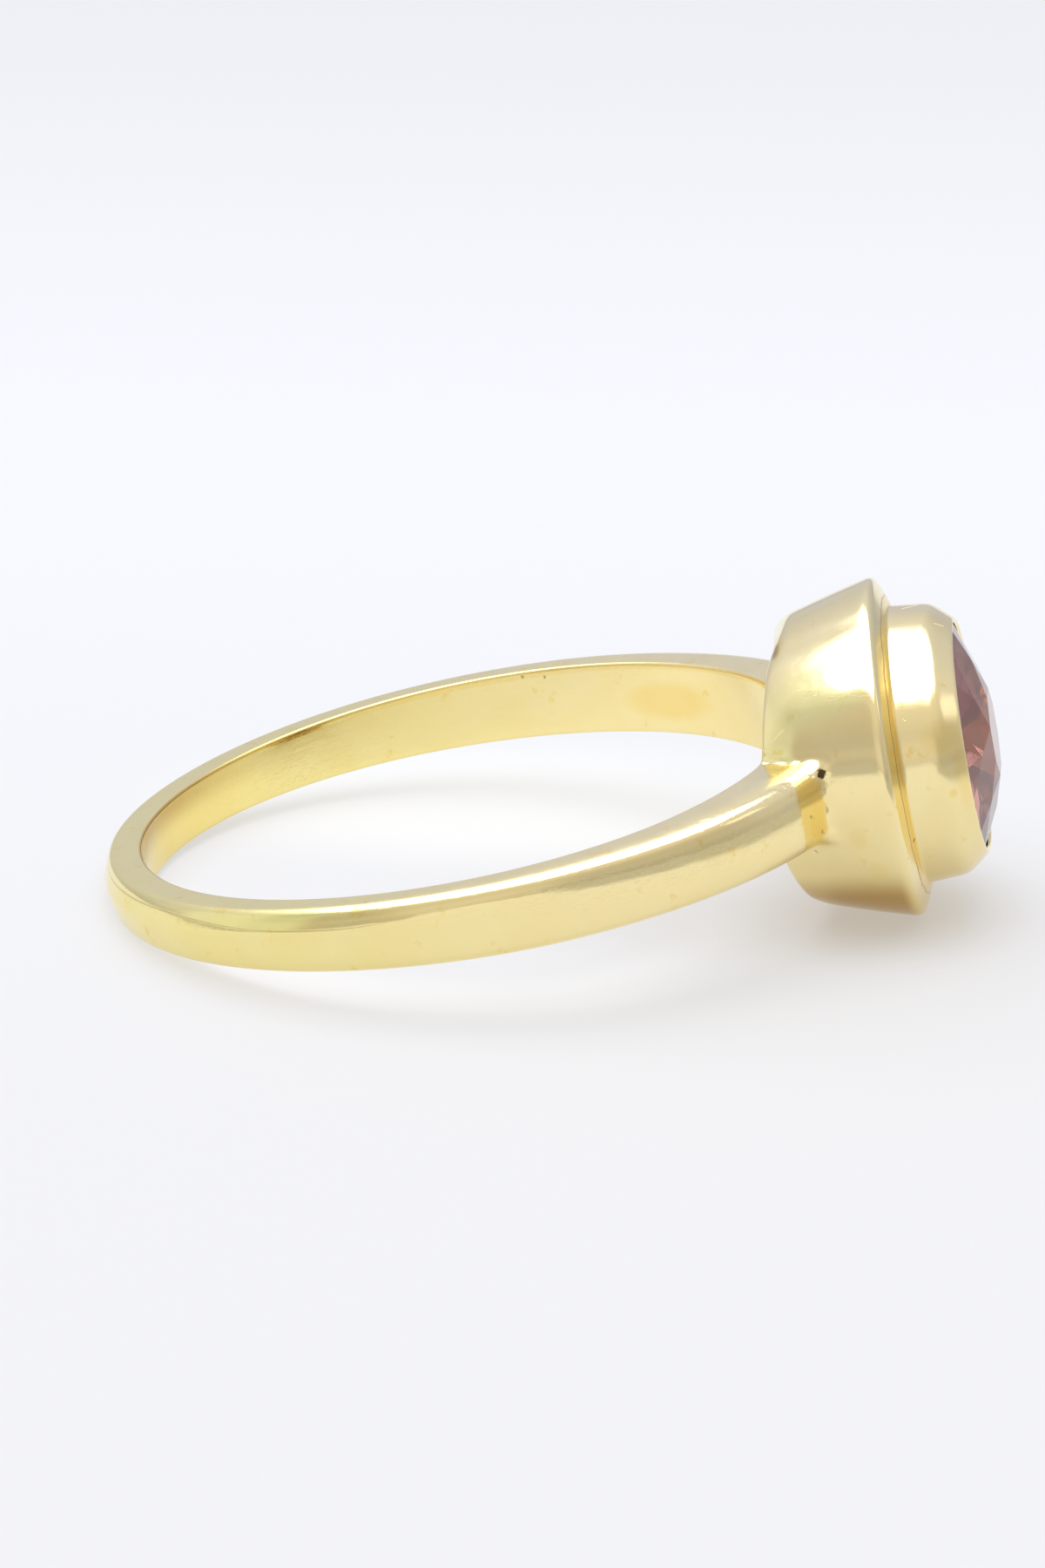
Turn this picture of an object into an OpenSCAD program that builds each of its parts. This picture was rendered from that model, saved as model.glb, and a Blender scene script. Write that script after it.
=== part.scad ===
// Bezel set ring with one round cut stone, lying on its side as it rests on a table.
// The ring is drawn in its own frame, where the finger hole runs along Z and the stone looks along X.
// It is then tilted and lifted until the back of the shank and the rim of the cup both touch Z = 0.

/* [Finger hole] */
// Inside radius of the shank
finger_r = 8.5; // [7.5:0.05:10.5]

/* [Shank] */
// Thickness of the band at the back of the hand
back_t = 0.98; // [0.8:0.02:1.4]
// Thickness of each arm where it meets the cup
arm_t = 1.74; // [1.5:0.02:2.1]
// Width of the band at the back of the hand
back_w = 1.3; // [1.1:0.05:2]
// Width of each arm where it meets the cup
arm_w = 2.1; // [2:0.05:3]
// Angle from the stone at which the arms start to thicken
taper_from = 100; // [85:1:120]

/* [Stone] */
// Girdle radius of the stone
stone_r = 2.95; // [2.6:0.05:3.5]
// Radius of the corners of the table
table_r = 1.12; // [0.9:0.02:1.5]
// Radius at which the points of the star facets lie
star_r = 1.95; // [1.8:0.05:2.2]
// Height of the crown above the girdle
crown_h = 0.68; // [0.6:0.01:1.1]
// Thickness of the girdle
girdle_t = 0.12; // [0.08:0.01:0.2]
// Depth of the pavilion below the girdle
pavilion_h = 2.45; // [2.2:0.05:2.6]
// Radius at which the lower points of the half facets lie
half_r = 1.1; // [0.8:0.05:1.5]
// Free space between the stone and the metal
stone_gap = 0.05; // [0.04:0.01:0.08]

/* [Bezel] */
// Thickness of the bezel wall where the lip starts
wall_t = 0.47; // [0.4:0.01:0.6]
// Height of the straight part of the bezel wall
wall_h = 1.02; // [0.9:0.02:1.3]
// Slope of the bezel wall towards the stone
wall_slope = 5.5; // [3:0.5:8]
// How far the folded lip reaches along the axis
lip_h = 0.59; // [0.5:0.01:0.7]
// How far the folded lip reaches over the girdle
lip_reach = 0.09; // [0.06:0.01:0.14]
// Thickness of the lip above the edge of the girdle
lip_t = 0.12; // [0.1:0.01:0.16]

/* [Cup] */
// Height of the cup from the finger hole to its rim
cup_h = 2.7; // [2.4:0.05:3.2]
// Width of the shoulder between the bezel and the rim of the cup
shoulder_w = 0.78; // [0.6:0.02:1]
// Rise of the shoulder from the rim to the bezel
shoulder_h = 0.24; // [0.16:0.02:0.4]
// Half angle of the flared outside of the cup
flare = 14.7; // [10:0.1:18]
// Radius that rounds the rim of the cup
rim_round = 0.2; // [0.1:0.02:0.22]
// How much the radius of the cup draws in beside the finger
back_draw = 0.7; // [0.5:0.05:0.9]
// Height over the middle of the head at which its filed back corners start
file_z = 2.85; // [2.6:0.05:3.1]
// Angle at which the back corners are filed
file_angle = 35; // [25:1:45]
// Radius of the light hole in the back of the cup
light_r = 2.3; // [2:0.05:2.4]
// Width of the bearing that the pavilion rests on
bearing_w = 0.35; // [0.25:0.05:0.5]

/* [Hidden] */
$fn = 96;
GOLD = [0.93, 0.82, 0.48];
STONE_COLOUR = [0.62, 0.42, 0.42, 0.85];

// Facets round the stone, and the half step between two of them
FACETS = 8;
HALF_STEP = 180 / FACETS;
// Straight steps that stand for each rounded edge
ROUND_STEPS = 5;
// Length by which a cutting body runs past what it cuts
PAST = 1;

// Places along the axis of the head
rim_x = finger_r + cup_h;
base_x = rim_x + shoulder_h;
bend_x = base_x + wall_h;
tip_x = bend_x + lip_h;
// Radii of the head
seat_r = stone_r + stone_gap;
bend_r = seat_r + wall_t;
base_r = bend_r + wall_h * tan(wall_slope);
rim_r = base_r + shoulder_w;
back_edge_r = rim_r - cup_h * tan(flare);
opening_r = stone_r - lip_reach;
tip_r = opening_r + lip_t;

// The lip lies on the crown, and the bearing lies under the pavilion
crown_slope = atan(crown_h / (stone_r - table_r));
star_h = (stone_r - star_r * cos(HALF_STEP)) * tan(crown_slope);
pavilion_slope = atan(pavilion_h / stone_r);
lip_under_x = tip_x - lip_t * sin(crown_slope);
girdle_x = lip_under_x - (seat_r - opening_r) * tan(crown_slope) - stone_gap;
girdle_low_x = girdle_x - girdle_t;
table_x = girdle_x + crown_h;
bearing_r = seat_r - bearing_w;
bearing_x = girdle_low_x + stone_gap * (tan(pavilion_slope) - 1 / cos(pavilion_slope));
bearing_low_x = bearing_x - bearing_w * tan(pavilion_slope);

// Outside of the shank: one arc at the back, and a wider arc along each arm that leaves it smoothly
back_r = finger_r + back_t;
cup_side = asin(back_edge_r / finger_r);
arc_shift = (arm_t - back_t) / (1 - cos(taper_from - cup_side));
arc_r = back_r + arc_shift;
arc_x = -arc_shift * cos(taper_from);
arc_y = arc_shift * sin(taper_from);
taper_x = back_r * cos(taper_from);
// Half of the width at the far ends of the tapered band
front_x = rim_x;
cup_side_x = finger_r * cos(cup_side);
half_rise = (arm_w - back_w) / 2 / (back_r + cup_side_x);
front_half_w = back_w / 2 + half_rise * (back_r + front_x);
rear_x = -back_r - PAST;
rear_half_w = back_w / 2 - half_rise * PAST;

// Back end of the cup before the finger hole is cut through it
cup_back_x = finger_r * cos(asin(rim_r / finger_r));
// Where the filed corners meet the finger hole, and where they leave the cup
file_x = sqrt(finger_r * finger_r - back_edge_r * back_edge_r + file_z * file_z);
file_top_z = rim_r;
file_top_x = file_x + (file_top_z - file_z) * tan(file_angle);

// Tilt at which the rim of the cup and the back of the shank both touch the table
rim_centre = [rim_x - rim_round, rim_r - rim_round];
shoulder_fall = atan(shoulder_h / (base_r - rim_centre[1]));
rim_run = rim_centre[0] + back_r;
rim_fall = rim_centre[1] - back_w / 2;
tilt = atan2(rim_fall, rim_run) + asin(rim_round / norm([rim_run, rim_fall]));
lift = back_w / 2 * cos(tilt) + back_r * sin(tilt);
// The middle of the length stands over the origin
rear_reach = back_r * cos(tilt) + back_w / 2 * sin(tilt);
front_reach = max(
    table_x * cos(tilt) + table_r * cos(HALF_STEP) * sin(tilt),
    (girdle_x + star_h) * cos(tilt) + star_r * sin(tilt),
    tip_x * cos(tilt) + tip_r * sin(tilt)
);
slide = (rear_reach - front_reach) / 2;

// Points of an arc about a centre, from one angle to another
function arc(centre, r, from, to) =
    [for (i = [0:ROUND_STEPS]) let (a = from + (to - from) * i / ROUND_STEPS)
        [centre[0] + r * cos(a), centre[1] + r * sin(a)]];

// Turns a solid drawn along Z so that it points along X
module along_head() {
    rotate([0, 90, 0]) children();
}

// Lays the ring down as it rests on the table
module at_rest() {
    translate([slide, 0, lift]) rotate([0, -tilt, 0]) children();
}

module finger_hole() {
    cylinder(r = finger_r, h = 4 * rim_r, center = true);
}

// Upright slab in the shape of the shank's outside, before its width is cut
module shank_outline() {
    high = 2 * arm_w;
    cylinder(r = back_r, h = high, center = true);
    intersection() {
        translate([arc_x, -arc_y, 0]) cylinder(r = arc_r, h = high, center = true);
        translate([arc_x, arc_y, 0]) cylinder(r = arc_r, h = high, center = true);
        translate([taper_x, -arc_r, -arm_w]) cube([2 * arc_r, 2 * arc_r, high]);
    }
}

// Wedge between the top and bottom faces of the shank, which part towards the cup
module shank_width() {
    rotate([90, 0, 0])
        linear_extrude(height = 2 * arc_r, center = true)
            polygon([
                [rear_x, -rear_half_w], [front_x, -front_half_w],
                [front_x, front_half_w], [rear_x, rear_half_w]
            ]);
}

module shank() {
    intersection() {
        shank_outline();
        shank_width();
    }
}

// Flared cup with its rounded rim and its sloping shoulder
module cup() {
    along_head()
        rotate_extrude()
            polygon(concat(
                [[0, cup_back_x], [back_edge_r - back_draw, cup_back_x]],
                [[back_edge_r, finger_r]],
                arc([rim_centre[1], rim_centre[0]], rim_round, -flare, 90 + shoulder_fall),
                [[base_r, base_x], [0, base_x]]
            ));
}

// Corners over and under the finger that are filed off the back of the cup
module filed_corners() {
    for (side = [0, 1])
        mirror([0, 0, side])
            rotate([90, 0, 0])
                linear_extrude(height = 4 * rim_r, center = true)
                    polygon([[0, file_z], [file_x, file_z], [file_top_x, file_top_z], [0, file_top_z]]);
}

// Bezel wall that leans in towards the stone, and the lip folded over the girdle
module bezel() {
    along_head()
        rotate_extrude()
            polygon([
                [0, rim_x], [base_r, rim_x], [base_r, base_x], [bend_r, bend_x],
                [tip_r, tip_x], [0, tip_x]
            ]);
}

// Seat of the stone, the opening of the lip and the light hole to the finger side
module seat_bore() {
    along_head()
        rotate_extrude()
            polygon([
                [0, cup_back_x - PAST], [light_r, cup_back_x - PAST], [bearing_r, bearing_low_x],
                [seat_r, bearing_x], [seat_r, girdle_x + stone_gap], [opening_r, lip_under_x],
                [tip_r, tip_x], [tip_r, tip_x + PAST], [0, tip_x + PAST]
            ]);
}

// The whole soldered mount
module ring_mount() {
    color(GOLD)
        at_rest()
            difference() {
                union() {
                    shank();
                    cup();
                    bezel();
                }
                seat_bore();
                filed_corners();
                finger_hole();
            }
}

// Ring of points about the axis of the stone: radius, height and the turn of its first point
function ring_points(r, h, turn, count) =
    [for (k = [0:count - 1]) let (a = turn + 360 * k / count) [r * cos(a), r * sin(a), h]];

// Round stone with a table, star, kite and half facets, a girdle and a faceted pavilion
module cut_stone() {
    n = FACETS;
    half_h = -girdle_t - (stone_r - half_r * cos(HALF_STEP)) * tan(pavilion_slope);
    points = concat(
        ring_points(table_r, crown_h, HALF_STEP, n),
        ring_points(star_r, star_h, 0, n),
        ring_points(stone_r, 0, 0, 2 * n),
        ring_points(stone_r, -girdle_t, 0, 2 * n),
        ring_points(half_r, half_h, 0, n),
        [[0, 0, -girdle_t - pavilion_h]]
    );
    // First index of each ring
    table = 0;
    star = n;
    top = 2 * n;
    low = 4 * n;
    half = 6 * n;
    culet = 7 * n;
    faces = concat(
        [[for (k = [n - 1:-1:0]) table + k]],
        [for (k = [0:n - 1]) [table + k, star + k, table + (k + n - 1) % n]],
        [for (k = [0:n - 1]) [table + k, star + (k + 1) % n, top + 2 * k + 1, star + k]],
        [for (k = [0:n - 1]) [star + k, top + 2 * k + 1, top + 2 * k]],
        [for (k = [0:n - 1]) [star + k, top + 2 * k, top + (2 * k + 2 * n - 1) % (2 * n)]],
        [for (k = [0:2 * n - 1]) [top + k, top + (k + 1) % (2 * n), low + (k + 1) % (2 * n), low + k]],
        [for (k = [0:n - 1]) [half + k, low + 2 * k, low + 2 * k + 1]],
        [for (k = [0:n - 1]) [half + k, low + (2 * k + 2 * n - 1) % (2 * n), low + 2 * k]],
        [for (k = [0:n - 1]) [culet, half + k, low + 2 * k + 1, half + (k + 1) % n]]
    );
    polyhedron(points = points, faces = faces);
}

module stone() {
    color(STONE_COLOUR)
        at_rest()
            along_head()
                translate([0, 0, girdle_x]) cut_stone();
}

ring_mount();
stone();
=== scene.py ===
"""A bezel set ring lying on a pale table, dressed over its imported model.

The mount is one soldered piece of yellow gold: a slim band that swells into a flared cup with a
folded bezel. It is drawn in the ring's own frame in millimetres, with the finger hole along Z and
the stone looking along X, and is then laid down as it rests.
"""

import logging
import math
from collections.abc import Callable, Iterable, Sequence
from dataclasses import dataclass
from enum import Enum

import bmesh
import bpy
from mathutils import Matrix, Vector


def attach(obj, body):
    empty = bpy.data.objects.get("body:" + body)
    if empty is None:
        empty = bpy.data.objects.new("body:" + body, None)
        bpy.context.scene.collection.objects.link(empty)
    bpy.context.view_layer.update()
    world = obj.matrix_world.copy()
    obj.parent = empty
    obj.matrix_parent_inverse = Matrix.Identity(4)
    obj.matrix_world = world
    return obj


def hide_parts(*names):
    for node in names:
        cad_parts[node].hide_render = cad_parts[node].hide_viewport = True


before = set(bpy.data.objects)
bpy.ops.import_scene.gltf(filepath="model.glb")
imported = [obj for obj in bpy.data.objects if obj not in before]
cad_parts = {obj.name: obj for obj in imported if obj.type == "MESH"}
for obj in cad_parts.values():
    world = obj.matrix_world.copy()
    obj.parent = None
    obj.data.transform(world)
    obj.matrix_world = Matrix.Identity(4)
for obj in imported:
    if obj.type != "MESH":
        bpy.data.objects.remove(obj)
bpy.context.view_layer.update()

LOG = logging.getLogger("ring")
MM = 0.001

BLACK = (0.0, 0.0, 0.0)

Point = tuple[float, float, float]
Value = "Wire | float | int | Sequence[float]"


@dataclass(frozen=True)
class Rest:
    """How the ring lies on the table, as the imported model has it."""

    tilt: float = math.radians(10.2448)
    slide: float = -2.05457
    lift: float = 2.32569

    def matrix(self) -> Matrix:
        """Gives the move from the ring's own frame, in millimetres, to the table's, in metres."""
        turn = Matrix.Rotation(-self.tilt, 4, "Y")
        return Matrix.Scale(MM, 4) @ Matrix.Translation((self.slide, 0, self.lift)) @ turn


REST = Rest()


class Bench:
    """The modeller's hand: selects by place and calls Blender's own operators."""

    WELD = 0.002

    @staticmethod
    def clear() -> None:
        """Leaves edit mode and deselects everything."""
        if bpy.context.object and bpy.context.object.mode != "OBJECT":
            bpy.ops.object.mode_set(mode="OBJECT")
        bpy.ops.object.select_all(action="DESELECT")

    @classmethod
    def take(cls, piece: bpy.types.Object) -> None:
        """Selects one object and makes it active.

        Args:
            piece: The object.
        """
        cls.clear()
        piece.select_set(True)
        bpy.context.view_layer.objects.active = piece

    @classmethod
    def name(cls, name: str) -> bpy.types.Object:
        """Names the object that an operator has just added.

        Args:
            name: The piece's name.

        Returns:
            The active object.
        """
        piece = bpy.context.active_object
        piece.name = name
        piece.data.name = name
        return piece

    @staticmethod
    def pick(piece: bpy.types.Object, wanted: Iterable[int]) -> None:
        """Selects vertices, and the edges and faces between them, and goes to edit mode.

        Args:
            piece: The object to select in.
            wanted: The indices of its vertices.
        """
        bpy.ops.object.mode_set(mode="EDIT")
        bpy.ops.mesh.select_mode(type="VERT")
        bpy.ops.mesh.select_all(action="DESELECT")
        mesh = bmesh.from_edit_mesh(piece.data)
        mesh.verts.ensure_lookup_table()
        for index in wanted:
            mesh.verts[index].select = True
        mesh.select_flush(True)
        bmesh.update_edit_mesh(piece.data)

    @staticmethod
    def place(piece: bpy.types.Object, rule: Callable[[Vector], Vector | None]) -> None:
        """Moves each vertex of a piece to where a rule puts it.

        Args:
            piece: The object, in object mode.
            rule: Gives a vertex's new place from its old one, or None to leave it.
        """
        for vertex in piece.data.vertices:
            target = rule(vertex.co)
            if target is not None:
                vertex.co = target
        piece.data.update()

    @classmethod
    def finish(cls, piece: bpy.types.Object, move: Matrix, levels: int, angle: float) -> None:
        """Puts faces outward, subdivides, applies the piece's place and smooths it.

        Args:
            piece: The object to finish.
            move: The move from the piece's own frame to the table's.
            levels: How often it is subdivided.
            angle: The largest angle, in degrees, that is shaded smooth.
        """
        cls.take(piece)
        bpy.ops.object.mode_set(mode="EDIT")
        bpy.ops.mesh.select_all(action="SELECT")
        bpy.ops.mesh.remove_doubles(threshold=cls.WELD)
        bpy.ops.mesh.normals_make_consistent(inside=False)
        bpy.ops.object.mode_set(mode="OBJECT")
        smooth = piece.modifiers.new("smooth", "SUBSURF")
        smooth.levels = smooth.render_levels = levels
        bpy.ops.object.modifier_apply(modifier=smooth.name)
        piece.matrix_world = move @ piece.matrix_world
        bpy.ops.object.transform_apply(location=True, rotation=True, scale=True)
        bpy.ops.object.shade_smooth_by_angle(angle=math.radians(angle))


@dataclass
class Mount:
    """Band, cup and bezel as one cage of quads, a quarter of it drawn and then mirrored.

    Lengths are millimetres in the ring's own frame. A row is one ring of points about the stone's axis,
    and a column is one slice through that axis.
    """

    finger_r: float = 8.5
    back_t: float = 0.98
    back_half_w: float = 0.65
    half_rise: float = 0.0234
    fuller_w: float = 0.045
    fuller_x: float = -1.5
    fuller_reach: float = 7.0
    arc_r: float = 10.5137
    arc_centre: tuple[float, float] = (0.17950, -1.01802)
    taper_from: float = math.radians(100)
    cone_x: float = 8.5
    cone_r: float = 3.63988
    cone_slope: float = 0.28643
    draw_slope: float = 0.5851
    rim_x: float = 11.1
    belly_out: float = 0.03
    file_x: float = 8.19
    file_z: float = 2.85
    file_slope: float = 0.7002
    filed_low_r: float = 2.8
    filed_reach: float = 0.8
    edge_r: float = 0.12
    inner_edge_r: float = 0.05
    light_r: float = 2.41
    wall_x: float = 9.98
    spread_turn: float = 40
    columns: tuple[float, ...] = (0, 10, 16.6, 19.4, 24, 31, 38.5, 46, 53.5, 61, 68.5, 76, 83, 90)
    arm_turns: tuple[float, ...] = (24.2, 26.8, 31.0, 36.5)
    arm_steps: int = 23
    arm_flat: float = 0.42
    arm_side: float = 0.2
    crown_t: float = 0.08
    levels: int = 2
    smooth_angle: float = 50

    # Rows from the lip, over the outside, to the cup's wall: place along the axis, radius
    OUTER = (
        (12.935, 2.845), (13.035, 2.965), (12.988, 3.031), (12.85, 3.146), (12.70, 3.272), (12.45, 3.482),
        (12.13, 3.504), (11.88, 3.526), (11.54, 3.5584), (11.44, 3.566), (11.406, 3.656), (11.30, 3.93),
        (11.229, 4.1109), (11.1204, 4.383), (10.832, 4.3078), (10.33, 4.164),
    )
    # Rows from the light hole through the cup to the seat of the stone
    INNER = ((10.4, 2.55), (12.36, 2.64), (12.472, 2.66), (12.617, 2.83), (12.7627, 3.0), (12.93, 3.0))
    # Steps along X from the band's outer face to the first rows of the cup's wall beside it
    ARM_ROWS = (0.24, 0.0, -0.55)
    # Steps in radius of the rows on the finger hole, next to the cup's edge and next to the light hole
    EDGE_ROW = 0.2
    LIGHT_ROW = 0.1
    WALL_ROWS = 7
    # How often a place is worked out again until it settles, and the share of a gap closed each time
    ROUNDS = 60
    SETTLE = 0.5
    # Which of a section's points is the edge of the outer face's flat, and how crisp its line is
    FLAT_EDGE = 7
    CREASE = 0.75
    # How near a spun vertex lies to the place it is known by, and how near two are that become one
    FOUND = 1e-3
    SPIN_WELD = 1e-5

    def cup_wall(self, x: float) -> float:
        """Gives the radius of the cup's outside at a place along its axis."""
        slope = self.cone_slope if x > self.cone_x else self.draw_slope
        return self.cone_r + (x - self.cone_x) * slope + self.belly(x)

    def belly(self, x: float) -> float:
        """Gives how far the cup's wall stands out of its cone at a place along its axis."""
        share = min(1.0, max(0.0, (x - self.cone_x) / (self.rim_x - self.cone_x)))
        return 4 * self.belly_out * share * (1 - share)

    def half_width(self, x: float) -> float:
        """Gives half of the band's width at a place along X."""
        fuller = self.fuller_w * max(0.0, 1 - ((x - self.fuller_x) / self.fuller_reach) ** 2)
        return self.back_half_w + self.half_rise * (self.finger_r + self.back_t + x) + fuller

    def thickness(self, turn: float) -> float:
        """Gives the band's thickness.

        Args:
            turn: The turn from the stone, in radians.

        Returns:
            The thickness, in millimetres.
        """
        if turn >= self.taper_from:
            return self.back_t
        along = self.arc_centre[0] * math.cos(turn) + self.arc_centre[1] * math.sin(turn)
        square = self.arc_centre[0] ** 2 + self.arc_centre[1] ** 2
        return along + math.sqrt(along**2 - square + self.arc_r**2) - self.finger_r

    def on_finger(self, r: float, turn: float) -> float:
        """Gives the finger hole's place along X at a radius and turn about the stone's axis."""
        return math.sqrt(self.finger_r**2 - (r * math.cos(turn)) ** 2)

    def back_edge(self, turn: float) -> tuple[tuple[float, float], tuple[float, float]]:
        """Gives the two creases of the cup's back edge.

        Args:
            turn: The turn about the stone's axis, in radians.

        Returns:
            The crease on the finger hole and the crease on the cup's wall, as place along X and radius.
        """
        x = self.cone_x
        for _ in range(self.ROUNDS):
            x = self.on_finger(self.cup_wall(x), turn)
        inner_r = self.cup_wall(x) - self.inner_edge_r
        outer_x = x + self.edge_r
        filed_r = inner_r
        for _ in range(self.ROUNDS):
            gap = self.on_finger(filed_r, turn) - self.file_x
            gap = gap / self.file_slope + self.file_z - filed_r * math.sin(turn)
            filed_r = max(self.filed_low_r, min(filed_r + gap * self.SETTLE, inner_r))
        filed_x = outer_x
        for _ in range(self.ROUNDS):
            height = self.cup_wall(filed_x) * math.sin(turn) - self.file_z
            gap = self.file_x + height * self.file_slope - filed_x
            filed_x = max(outer_x, min(filed_x + gap * self.SETTLE, x + self.filed_reach))
        return (self.on_finger(filed_r, turn), filed_r), (filed_x, self.cup_wall(filed_x))

    def arm_reach(self, turn: float) -> float:
        """Finds where the band's outer face meets the cup's wall.

        Args:
            turn: The turn about the stone's axis, in radians.

        Returns:
            The place along X.
        """
        x = self.wall_x
        for _ in range(self.ROUNDS):
            y = self.cup_wall(x) * math.cos(turn)
            x = self.arc_centre[0] + math.sqrt(self.arc_r**2 - (y - self.arc_centre[1]) ** 2)
        return x

    def column(self, index: int) -> list[Point]:
        """Gives one slice through the head.

        Args:
            index: The column's number, from the band's middle to the cup's top.

        Returns:
            For each row its place along X, its radius and its turn, in a closed loop.
        """
        turn = math.radians(self.columns[index])
        beside = min(turn, math.radians(self.columns[2]))
        inner, outer = self.back_edge(turn)
        reach = self.arm_reach(beside)
        beside_band = self.columns[3]
        spread = self.ease(self.columns[index], beside_band, beside_band + self.spread_turn)
        arm = [*(reach + step for step in self.ARM_ROWS), (reach + outer[0]) / 2 - 0.1, outer[0]]
        even = [self.wall_x - (self.wall_x - outer[0]) * k / 4 for k in range(5)]
        pairs = zip(arm, even, strict=True)
        wall = [self.wall_x, *(close + (apart - close) * spread for close, apart in pairs)]
        rows = [(x, r + self.belly(x), turn) for x, r in self.OUTER]
        rows += [(x, self.cup_wall(x), turn) for x in wall]
        light = self.light_r
        back = [inner[1], inner[1] - self.EDGE_ROW, (inner[1] + light) / 2, light + self.LIGHT_ROW, light]
        rows += [(self.on_finger(r, turn), r, turn) for r in back]
        rows += [(self.on_finger(light, turn) + self.edge_r, light + 0.01, turn)]
        rows += [(x, r, turn) for x, r in self.INNER]
        return [self.beside_arm(row, index, place) for place, row in enumerate(rows)]

    def beside_arm(self, row: Point, index: int, place: int) -> Point:
        """Turns a point of the first columns so that the cage follows the band's flat faces.

        Args:
            row: The point's place along X, radius and turn.
            index: The number of its column.
            place: The number of its row.

        Returns:
            The point, turned.
        """
        if index not in (1, 2, 3):
            return row
        x, r, turn = row
        top, low = len(self.OUTER) + 1, len(self.OUTER) + self.WALL_ROWS - 1
        near = max(0.0, 1 - max(top - place, place - low, 0) / 3)
        half = self.half_width(x)
        inward = self.arm_flat if place < low - 1 else self.edge_r
        wanted = {1: half - inward, 2: half, 3: half + self.arm_side}[index]
        return x, r, turn + (math.asin(wanted / r) - turn) * near

    @staticmethod
    def swell(before: float, after: float) -> float:
        """Gives how much further out a cage's point lies than the smoothed circle.

        Args:
            before: The turn to the point before it, in radians.
            after: The turn to the point after it.

        Returns:
            The share of the radius.
        """
        return 1 + (before**2 + after**2) / 12

    def head(self) -> list[list[Vector]]:
        """Gives the cage of the head's quarter, each point moved out so that the smoothed ring is round.

        Returns:
            The points, by column and row.
        """
        grid = [self.column(index) for index in range(len(self.columns))]
        last = len(grid) - 1
        cage = []
        for i, column in enumerate(grid):
            points = []
            for place, (x, r, turn) in enumerate(column):
                before = grid[i - 1][place][2] if i else -grid[1][place][2]
                after = grid[i + 1][place][2] if i < last else math.pi - grid[last - 1][place][2]
                out = r * self.swell(turn - before, after - turn)
                points.append(Vector((x, out * math.cos(turn), out * math.sin(turn))))
            cage.append(points)
        return cage

    def stations(self) -> list[float]:
        """Gives where the band's sections stand, close together beside the cup.

        Returns:
            Their turns from the stone, in radians.
        """
        rest = self.arm_steps + 1 - len(self.arm_turns)
        last = self.arm_turns[-1]
        step = (180 - last) / rest
        return [math.radians(a) for a in (*self.arm_turns, *(last + step * (k + 1) for k in range(rest)))]

    @staticmethod
    def polar(spot: Vector) -> tuple[float, float]:
        """Gives a place's turn from the stone and its distance from the finger hole's axis."""
        return abs(math.atan2(spot.y, spot.x)), math.hypot(spot.x, spot.y)

    def dome(self, turn: float) -> tuple[float, float, float, float]:
        """Gives how the band's outer face is domed at a turn from the stone.

        Args:
            turn: The section's turn from the stone.

        Returns:
            How near the head and how near the back it is, each from 0 to 1, how far the middle of the
            face stands out, and how far its edge falls back.
        """
        share = max(0.0, (math.pi - turn) / (math.pi - math.radians(self.arm_turns[0])))
        near, far = share**1.8, 1 - self.ease(share, 0.25, 0.7)
        crown = self.crown_t * (1 - self.ease(share, 0.25, 0.55))
        return near, far, crown, 0.05 + 0.15 * far + 0.07 * near

    @staticmethod
    def ease(value: float, low: float, high: float) -> float:
        """Goes smoothly from 0 at one value to 1 at another."""
        step = min(1.0, max(0.0, (value - low) / (high - low)))
        return step * step * (3 - 2 * step)

    def crease(self, piece: bpy.types.Object) -> None:
        """Keeps the line crisp where the flat of the band's outer face turns into its fall.

        Args:
            piece: The mount, before it is smoothed.
        """
        weights = {}
        for vertex in piece.data.vertices:
            turn, r = self.polar(vertex.co)
            if turn < math.radians(self.arm_turns[0]) * 2 or r < self.finger_r + self.back_t / 2:
                continue
            _, far, _, _ = self.dome(turn)
            level = self.section(turn, 1.0)[self.FLAT_EDGE].z
            if far > 0.05 and abs(abs(vertex.co.z) - level) < 0.001:
                weights[vertex.index] = self.CREASE * far
        creases = piece.data.attributes.new("crease_edge", "FLOAT", "EDGE")
        for edge in piece.data.edges:
            if edge.vertices[0] in weights and edge.vertices[1] in weights:
                creases.data[edge.index].value = sum(weights[end] for end in edge.vertices) / 2

    def fill_low(self, spot: Vector) -> Vector | None:
        """Gives the lower edge of the band's outer face less fall than the upper one.

        Args:
            spot: A vertex's place.

        Returns:
            Its new place, or None where nothing changes.
        """
        turn, r = self.polar(spot)
        inner = r < self.finger_r + self.back_t / 2
        if inner or turn < self.taper_from * 0.6 or spot.z > -0.5 * self.back_half_w:
            return None
        _, far, _, fall = self.dome(turn)
        out = 1 + max(0.0, fall - 0.10) * far / r
        return Vector((spot.x * out, spot.y * out, spot.z))

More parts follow.
